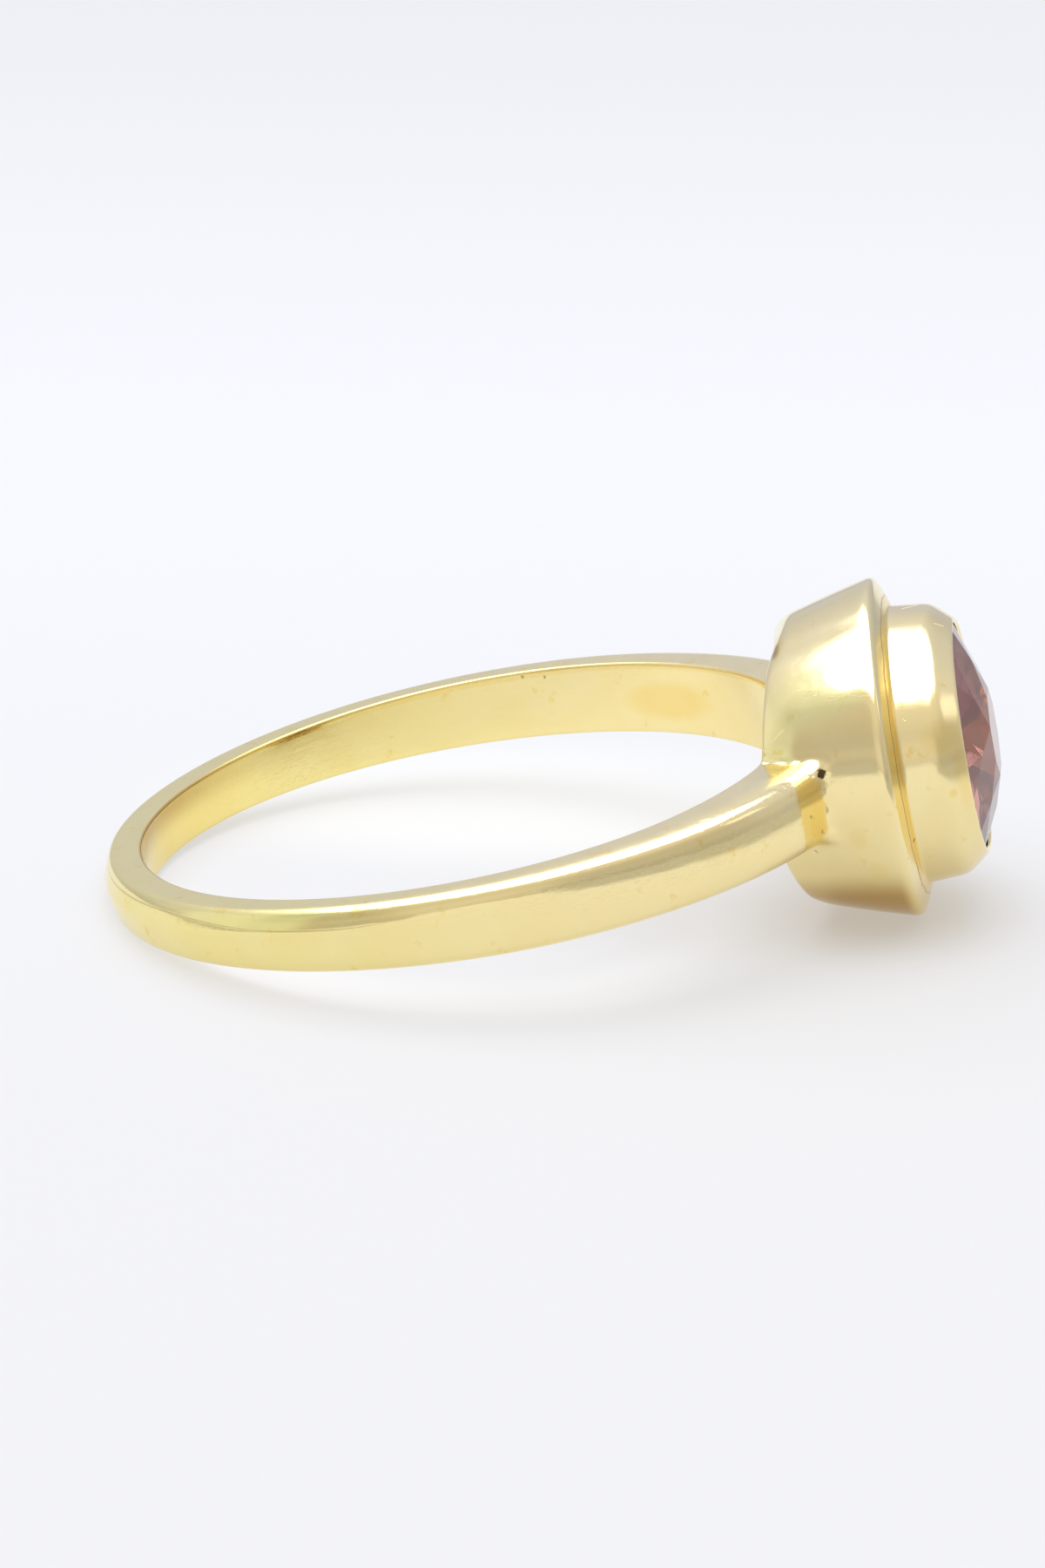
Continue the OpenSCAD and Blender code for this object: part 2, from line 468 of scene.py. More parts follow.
    def section(self, turn: float, swell: float) -> list[Vector]:
        """Gives half of the band's section, from the finger hole over its top face to its outer face.

        Args:
            turn: The section's turn from the stone.
            swell: How much further out the cage lies than the smoothed band.

        Returns:
            Nine points.
        """
        t = self.thickness(turn)
        near, far, crown, fall = self.dome(turn)
        half = self.half_width(self.finger_r * math.cos(turn))
        soft = 0.09 + 0.66 * near
        flat = half * (0.3 + 0.47 * far + 0.32 * near)
        r = self.finger_r
        edge = self.edge_r
        crown += r + t
        spots = (
            (r, None), (r, edge), (r, 0.0), (r + edge, 0.0), (r + t / 2 - 0.08, 0.0),
            (crown - fall - soft, 0.0), (crown - fall, 0.012 + 0.058 * near),
            (crown - 0.03 * near, flat), (crown, None),
        )
        points = []
        for radius, drop in spots:
            x = radius * math.cos(turn)
            z = 0.0 if drop is None else self.half_width(x) - drop
            points.append(Vector((x * swell, radius * math.sin(turn) * swell, z)))
        return points

    def doorway(self) -> tuple[list[tuple[int, int]], set[tuple[int, int]]]:
        """Gives the opening in the cup's wall that the band grows out of.

        Returns:
            The cage points along the opening's edge, and those inside it or on it, as column and row.
        """
        top = len(self.OUTER) + 2
        low = top + 4
        edge = [(0, low), (1, low), (2, low)]
        edge += [(2, row) for row in range(low - 1, top - 1, -1)]
        edge += [(1, top), (0, top)]
        inside = {(c, row) for c in range(3) for row in range(top, low + 1)}
        return edge, inside

    def build(self) -> bpy.types.Object:
        """Models the mount: spins the head's profile, opens the wall, and draws the band out of it.

        Returns:
            The finished object.
        """
        cage = self.head()
        piece = self.spin_head(len(cage[0]))
        address = self.settle_head(piece, cage)
        edge, inside = self.doorway()
        Bench.pick(piece, [k for k, spot in address.items() if spot in inside])
        bpy.ops.mesh.delete(type="ONLY_FACE")
        bpy.ops.mesh.select_all(action="DESELECT")
        bpy.ops.mesh.select_loose()
        bpy.ops.mesh.delete(type="EDGE")
        bpy.ops.object.mode_set(mode="OBJECT")
        self.draw_band(piece, [cage[c][place] for c, place in edge])

        Bench.take(piece)
        mirror = piece.modifiers.new("mirror", "MIRROR")
        mirror.use_axis = (False, True, True)
        mirror.merge_threshold = Bench.WELD * 2
        bpy.ops.object.modifier_apply(modifier=mirror.name)
        self.crease(piece)
        Bench.place(piece, self.fill_low)
        Bench.finish(piece, REST.matrix(), self.levels, self.smooth_angle)
        return piece

    def profile(self) -> list[Vector]:
        """Gives the closed outline of the head, as its last column has it."""
        return [Vector((x, r, 0)) for x, r, _ in self.column(len(self.columns) - 1)]

    def spin_head(self, rows: int) -> bpy.types.Object:
        """Spins the head's outline through a quarter turn about the stone's axis.

        Args:
            rows: The number of points of the outline.

        Returns:
            The new piece, in object mode.
        """
        Bench.clear()
        bpy.ops.mesh.primitive_circle_add(vertices=rows, radius=1, fill_type="NOTHING")
        piece = Bench.name("gold_mount")
        for vertex, spot in zip(piece.data.vertices, self.profile(), strict=True):
            vertex.co = spot
        Bench.take(piece)
        bpy.ops.object.mode_set(mode="EDIT")
        bpy.ops.mesh.select_all(action="SELECT")
        steps = len(self.columns) - 1
        bpy.ops.mesh.spin(steps=steps, angle=math.pi / 2, center=(0, 0, 0), axis=(1, 0, 0))
        bpy.ops.mesh.remove_doubles(threshold=self.SPIN_WELD)
        bpy.ops.object.mode_set(mode="OBJECT")
        return piece

    def settle_head(self, piece: bpy.types.Object, cage: list[list[Vector]]) -> dict[int, tuple[int, int]]:
        """Moves each vertex of the spun head to its place in the cage.

        Args:
            piece: The spun head.
            cage: The cage's points, by column and row.

        Returns:
            The column and row of each vertex, by its index.
        """
        profile = self.profile()
        steps = len(self.columns) - 1
        turn_sign = 1 if max(v.co.z for v in piece.data.vertices) > 1 else -1
        address = {}
        for vertex in piece.data.vertices:
            around = math.atan2(turn_sign * vertex.co.z, vertex.co.y)
            column = round(around / (math.pi / 2) * steps)
            flat = Vector((vertex.co.x, math.hypot(vertex.co.y, vertex.co.z), 0))
            row = min(range(len(profile)), key=lambda n, f=flat: (profile[n] - f).length_squared)
            address[vertex.index] = (column, row)
        for vertex in piece.data.vertices:
            column, row = address[vertex.index]
            vertex.co = cage[column][row]
        return address

    def draw_band(self, piece: bpy.types.Object, edge: list[Vector]) -> None:
        """Draws the band out of the opening and spins it round to the back of the hand.

        Args:
            piece: The head's quarter.
            edge: The places of the opening's edge, in the order of a section's points.
        """
        turns = self.stations()
        first = self.section(turns[0], 1.0)
        Bench.pick(piece, self.at(piece, edge))
        self.drop_faces(piece)
        bpy.ops.mesh.extrude_edges_move(TRANSFORM_OT_translate={"value": (0, 0, 0)})
        bpy.ops.object.mode_set(mode="OBJECT")
        for vertex in piece.data.vertices:
            if vertex.select:
                near = min(range(len(edge)), key=lambda k, v=vertex: (edge[k] - v.co).length)
                vertex.co = first[near]
        bpy.ops.object.mode_set(mode="EDIT")
        span = math.pi - turns[0]
        count = len(turns) - 1
        bpy.ops.mesh.spin(steps=count, angle=span, center=(0, 0, 0), axis=(0, 0, -1))
        bpy.ops.object.mode_set(mode="OBJECT")
        self.settle_band(piece, turns, first)
        LOG.info("the band is drawn with %d sections", count + 1)

    def settle_band(self, piece: bpy.types.Object, turns: list[float], first: list[Vector]) -> None:
        """Moves each vertex of the spun band to its place in its own section.

        Args:
            piece: The mount's quarter, with the band spun from its first section.
            turns: The turns of the sections.
            first: The points of the first section.
        """
        count = len(turns) - 1
        outline = [(math.hypot(p.x, p.y), p.z) for p in first]
        for vertex in piece.data.vertices:
            around, r = self.polar(vertex.co)
            steps = (around - turns[0]) / (math.pi - turns[0]) * count
            k = round(steps)
            if not 0 <= k <= count or abs(steps - k) > self.FOUND:
                continue
            gaps = [abs(p[0] - r) + abs(p[1] - vertex.co.z) for p in outline]
            spot = gaps.index(min(gaps))
            if gaps[spot] > self.FOUND:
                continue
            before = turns[k] - turns[k - 1] if k else turns[1] - turns[0]
            after = turns[k + 1] - turns[k] if k < count else before
            swell = self.swell(before, after) if k else 1.0
            vertex.co = self.section(turns[k], swell)[spot]
        piece.data.update()

    @staticmethod
    def at(piece: bpy.types.Object, spots: Sequence[Vector]) -> list[int]:
        """Gives the vertices that lie at some places."""
        corners = piece.data.vertices
        return [min(corners, key=lambda v, s=spot: (v.co - s).length_squared).index for spot in spots]

    @staticmethod
    def drop_faces(piece: bpy.types.Object) -> None:
        """Keeps only the open edges of a selection, in edit mode.

        Args:
            piece: The object that is being edited.
        """
        bpy.ops.mesh.select_mode(type="EDGE")
        mesh = bmesh.from_edit_mesh(piece.data)
        for edge in mesh.edges:
            if edge.select and not edge.is_boundary:
                edge.select = False
        mesh.select_flush_mode()
        bmesh.update_edit_mesh(piece.data)


@dataclass
class CutStone:
    """The cut stone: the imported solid's own facets, with the fine polish on their edges."""

    node: str = "stone"
    weld: float = 1e-6
    flat_angle: float = 0.4
    polish: float = 0.012
    polish_steps: int = 2
    polish_angle: float = 2
    smooth_angle: float = 1

    def build(self) -> bpy.types.Object:
        """Copies the stone, joins its loose triangles into facets and softens the edges between them.

        Returns:
            The finished object.
        """
        Bench.take(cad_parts[self.node])
        bpy.ops.object.duplicate()
        piece = Bench.name("cut_stone")
        world = piece.matrix_world.copy()
        piece.parent = None
        piece.matrix_world = world
        for key in list(piece.keys()):
            del piece[key]
        Bench.take(piece)
        bpy.ops.object.mode_set(mode="EDIT")
        bpy.ops.mesh.select_all(action="SELECT")
        bpy.ops.mesh.remove_doubles(threshold=self.weld)
        bpy.ops.mesh.dissolve_limited(angle_limit=math.radians(self.flat_angle))
        bpy.ops.object.mode_set(mode="OBJECT")
        bevel = piece.modifiers.new("polish", "BEVEL")
        bevel.width = self.polish * MM
        bevel.segments = self.polish_steps
        bevel.limit_method = "ANGLE"
        bevel.angle_limit = math.radians(self.polish_angle)
        bpy.ops.object.modifier_apply(modifier=bevel.name)
        bpy.ops.object.shade_smooth_by_angle(angle=math.radians(self.smooth_angle))
        return piece


class Wire:
    """One socket of a node, with the sums and products that make new nodes."""

    def __init__(self, nodes: "Nodes", socket: bpy.types.NodeSocket) -> None:
        """Holds a socket and the nodes that it belongs to."""
        self.nodes = nodes
        self.socket = socket

    def math(self, operation: str, *others: "Value") -> "Wire":
        """Adds a Math node on this value and others.

        Args:
            operation: The node's operation.
            others: The other operands.

        Returns:
            The result.
        """
        operands = dict(enumerate((self, *others)))
        return self.nodes.add("ShaderNodeMath", {"operation": operation}, operands)

    def __add__(self, other: "Value") -> "Wire":
        """Adds."""
        return self.math("ADD", other)

    __radd__ = __add__

    def __sub__(self, other: "Value") -> "Wire":
        """Takes the other value away."""
        return self.math("SUBTRACT", other)

    def __rsub__(self, other: float) -> "Wire":
        """Takes this away from a number."""
        return self.nodes.value(other).math("SUBTRACT", self)

    def __mul__(self, other: "Value") -> "Wire":
        """Multiplies."""
        return self.math("MULTIPLY", other)

    __rmul__ = __mul__

    def __truediv__(self, other: "Value") -> "Wire":
        """Divides by the other value."""
        return self.math("DIVIDE", other)

    def __pow__(self, other: "Value") -> "Wire":
        """Raises to a power."""
        return self.math("POWER", other)

    def size(self) -> "Wire":
        """Gives the value without its sign."""
        return self.math("ABSOLUTE")

    def root(self) -> "Wire":
        """Gives the square root."""
        return self.math("SQRT")

    def most(self, others: Iterable["Wire"]) -> "Wire":
        """Gives the largest of some values.

        Args:
            others: The values beside this one.

        Returns:
            The largest.
        """
        largest = self
        for other in others:
            largest = largest.math("MAXIMUM", other)
        return largest

    def step(self, low: "Value", high: "Value") -> "Wire":
        """Goes smoothly from 0 at one value to 1 at another.

        Args:
            low: The value that gives 0.
            high: The value that gives 1.

        Returns:
            The smooth step.
        """
        settings = {"interpolation_type": "SMOOTHSTEP", "clamp": True}
        inputs = {"Value": self, "From Min": low, "From Max": high}
        return self.nodes.add("ShaderNodeMapRange", settings, inputs)

    def band(self, centre: float, width: float, soft: float) -> "Wire":
        """Gives 1 near a value and 0 away from it.

        Args:
            centre: The middle of the band.
            width: Its half width.
            soft: The width of each soft side.

        Returns:
            The band's mask.
        """
        return 1 - (self - centre).size().step(width, width + soft)


class Nodes:
    """A node tree that nodes are added to."""

    def __init__(self, tree: bpy.types.NodeTree) -> None:
        """Holds the tree."""
        self.tree = tree

    def feed(self, socket: bpy.types.NodeSocket, value: object) -> None:
        """Links a wire to a socket, or sets the socket to a value.

        Args:
            socket: The socket.
            value: The wire or the value.
        """
        if isinstance(value, Wire):
            self.tree.links.new(value.socket, socket)
        else:
            socket.default_value = value

    def add(self, kind: str, settings: dict[str, object], inputs: dict, output: int | str = 0) -> Wire:
        """Adds one node.

        Args:
            kind: Blender's name of the node's type.
            settings: Its properties.
            inputs: Its sockets' values or wires, by name or number.
            output: The output that is wanted, by name or number.

        Returns:
            That output.
        """
        made = self.tree.nodes.new(kind)
        for key, value in settings.items():
            setattr(made, key, value)
        for key, value in inputs.items():
            self.feed(made.inputs[key], value)
        return Wire(self, made.outputs[output])

    def value(self, number: float) -> Wire:
        """Turns a number into a wire.

        Args:
            number: The number.

        Returns:
            The wire.
        """
        made = self.tree.nodes.new("ShaderNodeValue")
        made.outputs[0].default_value = number
        return Wire(self, made.outputs[0])

    def mix(self, share: "Value", low: "Value", high: "Value", blend: str = "MIX") -> Wire:
        """Mixes two colours.

        Args:
            share: How much of the second there is.
            low: The first colour.
            high: The second colour.
            blend: How they are mixed.

        Returns:
            The mixed colour.
        """
        settings = {"data_type": "RGBA", "blend_type": blend, "clamp_factor": True}
        low, high = (v if isinstance(v, Wire) else (*v, 1) for v in (low, high))
        return self.add("ShaderNodeMix", settings, {0: share, 6: low, 7: high}, 2)

    def noise(self, place: Wire, scale: float, detail: float, roughness: float) -> Wire:
        """Gives a noise value, from 0 to 1, at a place.

        Args:
            place: The vector that it reads.
            scale: Its scale.
            detail: Its number of octaves.
            roughness: How strong the fine octaves are.

        Returns:
            The noise.
        """
        inputs = {"Vector": place, "Scale": scale, "Detail": detail, "Roughness": roughness}
        return self.add("ShaderNodeTexNoise", {"noise_dimensions": "3D"}, inputs)

    def vector(self, *parts: Wire) -> Wire:
        """Joins three values into a vector."""
        return self.add("ShaderNodeCombineXYZ", {}, dict(enumerate(parts)))

    def parts(self, place: Wire) -> tuple[Wire, ...]:
        """Splits a vector into its three values."""
        made = self.add("ShaderNodeSeparateXYZ", {}, {0: place})
        return tuple(Wire(self, output) for output in made.socket.node.outputs)

    def reckon(self, operation: str, place: Wire, other: Point = BLACK, output: int | str = 0) -> Wire:
        """Adds a Vector Math node.

        Args:
            operation: The node's operation.
            place: The first vector.
            other: The second vector, where the operation has one.
            output: The output that is wanted.

        Returns:
            That output.
        """
        inputs = {0: place, 1: tuple(other)}
        return self.add("ShaderNodeVectorMath", {"operation": operation}, inputs, output)

    def ring_place(self) -> Wire:
        """Adds the place in the ring's own frame.

        Returns:
            The place, in millimetres.
        """
        move = REST.matrix().inverted()
        inputs = {
            "Vector": self.add("ShaderNodeTexCoord", {}, {}, "Object"),
            "Location": move.to_translation(),
            "Rotation": move.to_euler(),
            "Scale": move.to_scale(),
        }
        return self.add("ShaderNodeMapping", {"vector_type": "POINT"}, inputs)

    def blot(self, place: Wire, at: Point, size: Point, core: float) -> Wire:
        """Gives 1 inside a small ellipsoid, falling to 0 a little outside it.

        Args:
            place: The place, in millimetres.
            at: The ellipsoid's middle.
            size: Its half sizes.
            core: The share of it that is full.

        Returns:
            The mask.
        """
        gaps = [(value - c) / h for value, c, h in zip(self.parts(place), at, size, strict=True)]
        far = (gaps[0] * gaps[0] + gaps[1] * gaps[1] + gaps[2] * gaps[2]).root()
        return 1 - far.step(core, 1.25)

    def line(self, place: Wire, start: Point, end: Point, width: float) -> Wire:
        """Marks a thin straight line on the surface.

        Args:
            place: The place in the ring's frame.
            start: Where the line starts.
            end: Where it ends.
            width: Half its width.

        Returns:
            1 on the line and 0 off it.
        """
        middle, along = (Vector(start) + Vector(end)) / 2, Vector(end) - Vector(start)
        across = along.cross(Vector((0, middle.y, middle.z))).normalized()
        offset = self.reckon("SUBTRACT", place, middle)
        side = self.reckon("DOT_PRODUCT", offset, across, "Value").size()
        reach = self.reckon("LENGTH", offset, output="Value")
        half = along.length / 2
        return (1 - side.step(width * 0.4, width)) * (1 - reach.step(half * 0.7, half))

    def bump(self, height: Wire, distance: float, strength: float) -> Wire:
        """Turns a height into a normal.

        Args:
            height: The height, in shares of the distance.
            distance: The height of 1, in millimetres.
            strength: How strongly it acts.

        Returns:
            The normal.
        """
        inputs = {"Height": height, "Distance": distance * MM, "Strength": strength}
        return self.add("ShaderNodeBump", {}, inputs)


class Paint(Nodes):
    """A material with one Principled shader and the nodes that feed it."""

    def __init__(self, name: str) -> None:
        """Makes the material.

        Args:
            name: Its name.
        """
        self.material = bpy.data.materials.new(name)
        self.material.use_nodes = True
        super().__init__(self.material.node_tree)
        self.shader = self.tree.nodes["Principled BSDF"]

    def set(self, **sockets: object) -> bpy.types.Material:
        """Feeds the shader's sockets.

        Args:
            sockets: A wire or a value for each socket, named with underscores for spaces.

        Returns:
            The material.
        """
        for key, value in sockets.items():
            self.feed(self.shader.inputs[key.replace("_", " ")], value)
        return self.material


class StainAndShade(Enum):
    """Deeper coloured patches of the gold, real stains and some painted shade: place and half sizes in the
    ring's frame, and depth.
    """

    OVAL = ((4.75, 7.05, -0.08), (1.7, 1.4, 0.6), 0.85)
    CUP = ((10.1, -3.95, -1.0), (0.25, 0.4, 0.35), 0.35)
    CUP_LOW = ((10.4, -3.65, -2.0), (0.3, 0.4, 0.3), 0.3)
    # Painted shade: the dark brown shadow on the bezel
    BLOTCH = ((12.5, -3.1, 1.0), (0.6, 0.5, 0.5), 0.55)
    BEND = ((12.85, -2.9, 0.2), (0.25, 0.6, 1.2), 0.5)
    LIP = ((12.58, -3.34, -0.4), (0.12, 0.2, 0.12), 0.7)
    # Painted shade at the top of the cup's back edge
    CREASE = ((8.6, -0.9, 3.4), (0.25, 0.8, 0.25), 0.9)
    JOINT = ((9.2, -4.1, -0.7), (0.2, 0.4, 0.7), 0.4)


class Pit(Enum):
    """Small dark pits: place in the ring's frame, half size and depth."""

    SOLDER = ((9.454, -3.937, 0.82), 0.12, 1.0)
    SOLDER_SIDE = ((9.52, -4.0, 0.66), 0.06, 0.9)
    JOINT_TOP = ((9.087, -4.558, -0.07), 0.045, 0.4)
    JOINT = ((9.261, -4.195, -0.62), 0.05, 0.5)
    JOINT_LOW = ((8.948, -3.524, -1.34), 0.04, 0.4)
    SHOULDER = ((11.402, -3.356, -1.475), 0.06, 0.7)
    BEZEL = ((11.659, -3.141, 1.647), 0.03, 0.6)
    NICK = ((0.763, 8.467, 0.787), 0.04, 0.5)
    NICK_SIDE = ((1.349, 8.392, 0.718), 0.04, 0.5)


class Scratch(Enum):
    """Fine light scratches: both ends in the ring's frame, and half width."""

    CUP = ((7.95, -3.03, 1.28), (8.70, -3.18, 1.92), 0.035)
    BEZEL = ((11.75, 0.1, 3.54), (12.25, 0.55, 3.45), 0.03)
    BEZEL_SIDE = ((11.6, -1.1, 3.4), (12.1, -1.35, 3.3), 0.025)
    LIP = ((12.58, -0.7, 3.28), (12.85, -0.55, 3.1), 0.03)
    ARM = ((6.3, -6.75, 0.95), (6.85, -6.3, 0.9), 0.03)


class Spot:
    """Where a point of the mount lies, as the wires that the gold's masks read."""

    # Half of the band's width beside the middle of the hoop
    HALF_WIDTH = 0.872

    def __init__(self, paint: Paint) -> None:
        """Adds the point's measures and the parts of the ring that it can be on.

        Args:
            paint: The gold's material.
        """
        self.place = paint.ring_place()
        self.x, self.y, self.z = paint.parts(self.place)
        self.reach = (self.y * self.y + self.z * self.z).root()
        self.r = (self.x * self.x + self.y * self.y).root()
        self.hoop = self.y.math("ARCTAN2", self.x)
        self.turn = self.z.math("ARCTAN2", self.y)
        self.back = self.hoop.size()
        self.half_width = self.x * Mount.half_rise + self.HALF_WIDTH
        self.on_head = self.x.step(7.4, 8.4) * (1 - self.reach.step(4.4, 4.7))
        self.on_band = 1 - self.on_head
        self.on_shoulder = self.x.band(11.34, 0.1, 0.04)
        self.inner = (1 - self.r.step(8.53, 8.58)) * self.on_band
        self.far_back = self.back.step(2.2, 2.9)
        self.wander = self.reach + (paint.noise(self.place, 1.3, 2, 0.5) - 0.5) * 0.16


@dataclass(frozen=True)
class Marks:
    """The marks on the gold, with the painted shade and painted dark lines among them, each as a mask from
    0 to 1.
    """

    grain: Wire
    stain_and_shade: Wire
    seam: Wire
    pit: Wire


@dataclass(frozen=True)
class YellowGold:
    """Polished yellow gold with brush marks, fine scratches, stains and the traces of solder, and with
    painted shade, painted dark lines and a painted cool tint.
    """

    pale: Point = (0.96, 0.825, 0.44)
    deep: Point = (0.92, 0.70, 0.25)
    dark: Point = (0.07, 0.045, 0.02)
    # Colour of the painted dark lines
    line: Point = (0.50, 0.30, 0.08)
    # Middle and half sizes of the painted shade on the sliver behind the cup
    sliver_shade: tuple[Point, Point] = ((8.56, -1.25, 3.36), (0.15, 0.42, 0.26))
    # The cool tint painted on the back of the band, standing in for its cooler reflections
    cooler: Point = (0.955, 0.97, 0.81)
    shadow: Point = (0.48, 0.27, 0.05)
    polish: float = 0.045
    relief: float = 0.05
    relief_share: float = 0.6

    @staticmethod
    def grain(paint: Paint, spot: Spot) -> Wire:
        """Gives the brush marks, which run along the band and round the head.

        Args:
            paint: The gold's material.
            spot: Where the point lies.

        Returns:
            The mask.
        """
        along_band = paint.vector(spot.hoop * Mount.finger_r * 0.25, spot.r * 2.6, spot.z * 2.6)
        along_head = paint.vector(spot.x * 3, spot.turn * 4 * 0.3, spot.reach * 3)
        band, head = (paint.noise(along, 3.0, 3, 0.6) for along in (along_band, along_head))
        return paint.add("ShaderNodeMix", {"data_type": "FLOAT"}, {0: spot.on_head, 2: band, 3: head})

    @staticmethod
    def stain_and_shade(paint: Paint, spot: Spot) -> Wire:
        """Gives the stains and painted shade: cloudy stains, the patches (some painted shade), painted
        shade low on the head, on the inner faces and in the shoulder's groove.

        Args:
            paint: The gold's material.
            spot: Where the point lies.

        Returns:
            The mask.
        """
        stains = (stain_and_shade.value for stain_and_shade in StainAndShade)
        masks = [paint.blot(spot.place, at, size, 0.5) * depth for at, size, depth in stains]
        # Painted shade: the shaded table mirrored low on the head, deeper towards the bottom
        masks.append((0 - spot.z).step(2.3, 3.9) * spot.on_head * 0.7)
        # Painted shade on the inner faces, most at the far back and just under the top edge
        masks.append(spot.inner * (0.14 + spot.far_back * 0.46))
        masks.append(spot.inner * (spot.z - spot.half_width + 0.16).step(-0.06, 0.04) * 0.6)
        # Painted shade in the groove at the foot of the bezel
        masks.append((1 - spot.wander.step(3.8, 3.86)) * spot.on_shoulder * 0.9)
        return paint.noise(spot.place, 1.7, 4, 0.62).step(0.60, 0.74).most(masks)

    def seam(self, paint: Paint, spot: Spot) -> Wire:
        """Gives the painted dark lines: painted shade in the shoulder's groove and on the sliver behind
        the cup, and a painted reflection line along the band's outer face.

        Args:
            paint: The gold's material.
            spot: Where the point lies.

        Returns:
            The mask.
        """
        # Painted shade along the groove at the foot of the bezel
        groove_shade = spot.wander.band(3.84, 0.004, 0.035) * spot.on_shoulder
        sliver_shade = paint.blot(spot.place, *self.sliver_shade, 0.5) * 1.3
        # A painted dark line where the outer face's reflection turns from dark to bright
        level = 0.44 + 0.28 * spot.back.step(2.0, 2.5) + 0.12 * (1 - spot.back.step(1.6, 1.85))
        reflection_line = (spot.z - spot.half_width * level).band(0, 0.006, 0.022)
        reflection_line = reflection_line * spot.r.step(9.0, 9.3) * (1 - spot.hoop.step(-1.95, -1.7))
        return groove_shade.most((sliver_shade, reflection_line * 0.55))

    @staticmethod
    def pit(paint: Paint, spot: Spot) -> Wire:
        """Gives the pits, with edges that noise makes uneven.

        Args:
            paint: The gold's material.
            spot: Where the point lies.

        Returns:
            The mask.
        """
        push = (paint.noise(spot.place, 7, 2, 0.6) - 0.5) * 0.22
        uneven = paint.vector(spot.x + push, spot.y + push, spot.z - push)
        fine = (1 - paint.noise(spot.place, 5.2, 2, 0.5).step(0.205, 0.23)) * spot.on_head * 0.4
        pits = (pit.value for pit in Pit)
        return fine.most(paint.blot(uneven, at, (half,) * 3, 0.8) * depth for at, half, depth in pits)

    def colour(self, paint: Paint, spot: Spot, marks: Marks) -> Wire:
        """Gives the colour: deeper in the stains and painted shade, painted cooler at the back of the band
        as a reflection tint, dark in pits, painted dark lines and painted shadows.

        Args:
            paint: The gold's material.
            spot: Where the point lies.
            marks: The marks on the gold.

        Returns:
            The colour.
        """
        cloud = paint.noise(spot.place, 0.9, 3, 0.55).step(0.3, 0.75)
        colour = paint.mix(cloud * 0.18 + marks.grain * 0.14 + marks.stain_and_shade * 0.85, self.pale, self.deep)
        # Painted reflection tint: the back of the band is made cooler
        side = (1 - spot.x.step(-6, 6)) * spot.on_band
        colour = paint.mix(side, colour, self.cooler, "MULTIPLY")
        colour = paint.mix(marks.pit * 0.97, colour, self.dark)
        # Painted dark lines
        colour = paint.mix(marks.seam * 0.6, colour, self.line)
        bottom = (0 - spot.z).step(2.0, 3.1) * spot.on_head * (1 - spot.x.step(10.8, 11.2)) * 0.8
        behind = spot.inner * spot.far_back * spot.z.step(-0.2, 0.55) * 0.6
        return paint.mix(bottom.most((behind,)), colour, self.shadow)

    def roughness(self, paint: Paint, spot: Spot, marks: Marks) -> Wire:
        """Gives the roughness: polished, with wear, satin edges and head, pits and scratches.

        Args:
            paint: The gold's material.
            spot: Where the point lies.
            marks: The marks on the gold.

        Returns:
            The roughness.
        """
        wear = paint.noise(spot.place, 2.3, 3, 0.6).step(0.35, 0.7)
        edges = (spot.z.size() - spot.half_width).step(-0.1, -0.02) * spot.on_band
        nick = paint.value(0.0).most(paint.line(spot.place, *scratch.value) for scratch in Scratch)
        rough = self.polish + (wear + marks.grain + marks.stain_and_shade) * 0.03 + marks.pit * 0.3 + edges * 0.17
        satin = spot.on_head * (0.02 + spot.x.step(11.4, 11.5) * 0.04)
        return rough + spot.on_shoulder * 0.06 + satin + nick * 0.4

    @staticmethod
    def height(paint: Paint, spot: Spot, marks: Marks) -> Wire:
        """Gives the low relief: slow waves, brush marks, crossing scratches, pits and grooves under the
        painted dark lines.

        Args:
            paint: The gold's material.
            spot: Where the point lies.
            marks: The marks on the gold.

        Returns:
            The height, in shares of the relief.
        """
        x, y, z = spot.x, spot.y, spot.z
        waves = paint.noise(spot.place, 0.75, 2, 0.45)
        fine = paint.noise(spot.place, 14.0, 3, 0.6)
        slant = paint.vector((x + z * 0.7 + y * 0.5) * 0.3, (y - z * 0.6) * 3, (z + y * 0.4) * 3)
        scratch = (paint.noise(slant, 1.6, 2, 0.6) - 0.5).size().step(0.003, 0.01)
        height = waves * 0.3 + fine * 0.005 - marks.pit * 0.5 - marks.seam * 0.4
        height = height + marks.grain * (0.035 - spot.on_head * 0.028)
        return height + scratch * (0.012 - spot.on_head * 0.008)

    def material(self) -> bpy.types.Material:
        """Makes the material.

        Returns:
            The material.
        """
        paint = Paint("yellow_gold")
        spot = Spot(paint)
        marks = Marks(*(make(paint, spot) for make in (self.grain, self.stain_and_shade, self.seam, self.pit)))
        return paint.set(
            Base_Color=self.colour(paint, spot, marks),
            Metallic=1.0,
            Roughness=self.roughness(paint, spot, marks),
            Normal=paint.bump(self.height(paint, spot, marks), self.relief, self.relief_share),
        )


